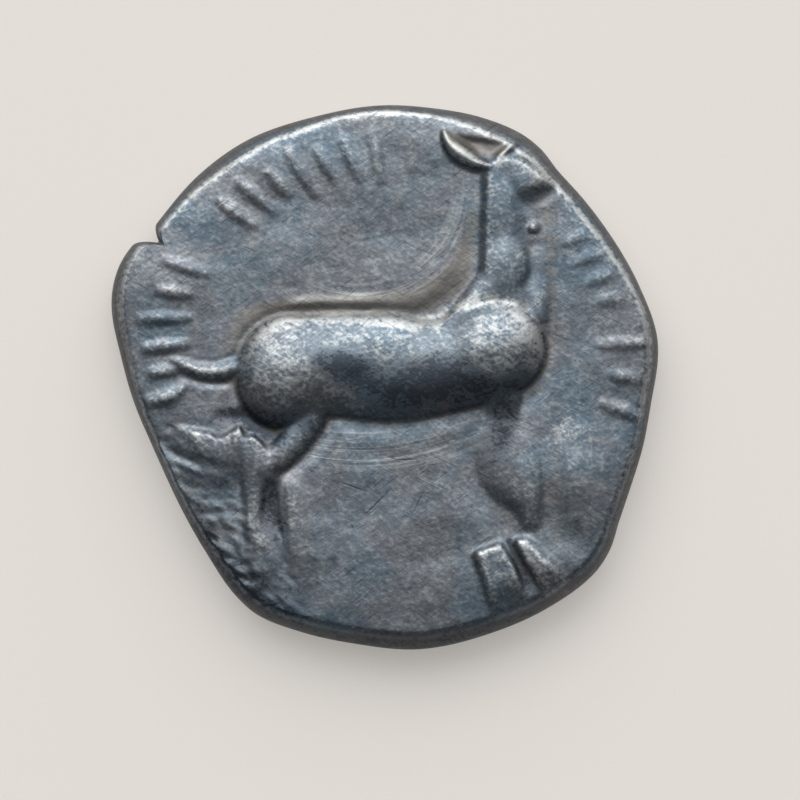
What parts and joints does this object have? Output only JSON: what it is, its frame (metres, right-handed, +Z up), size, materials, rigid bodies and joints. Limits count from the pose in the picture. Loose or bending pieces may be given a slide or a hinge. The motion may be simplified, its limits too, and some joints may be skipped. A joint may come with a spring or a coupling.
{
  "type": "ancient silver didrachm",
  "caption": "Hand-struck silver coin, lying flat, with a standing stag in relief on an uneven, cracked flan and a worn branch underneath.",
  "frame": {"origin": "under the middle of the coin, on the plane that it lies on", "axes": "+X to the right of the stag side, +Y towards the stag's head, +Z up out of the stag side"},
  "size_m": [0.02, 0.0199, 0.0035],
  "materials": {
    "silver": "worn struck silver, blue-grey toning with bright rubbed high points and brown dirt in the recesses"
  },
  "bodies": {
    "root": {"coin": "silver"}
  },
  "joints": []
}
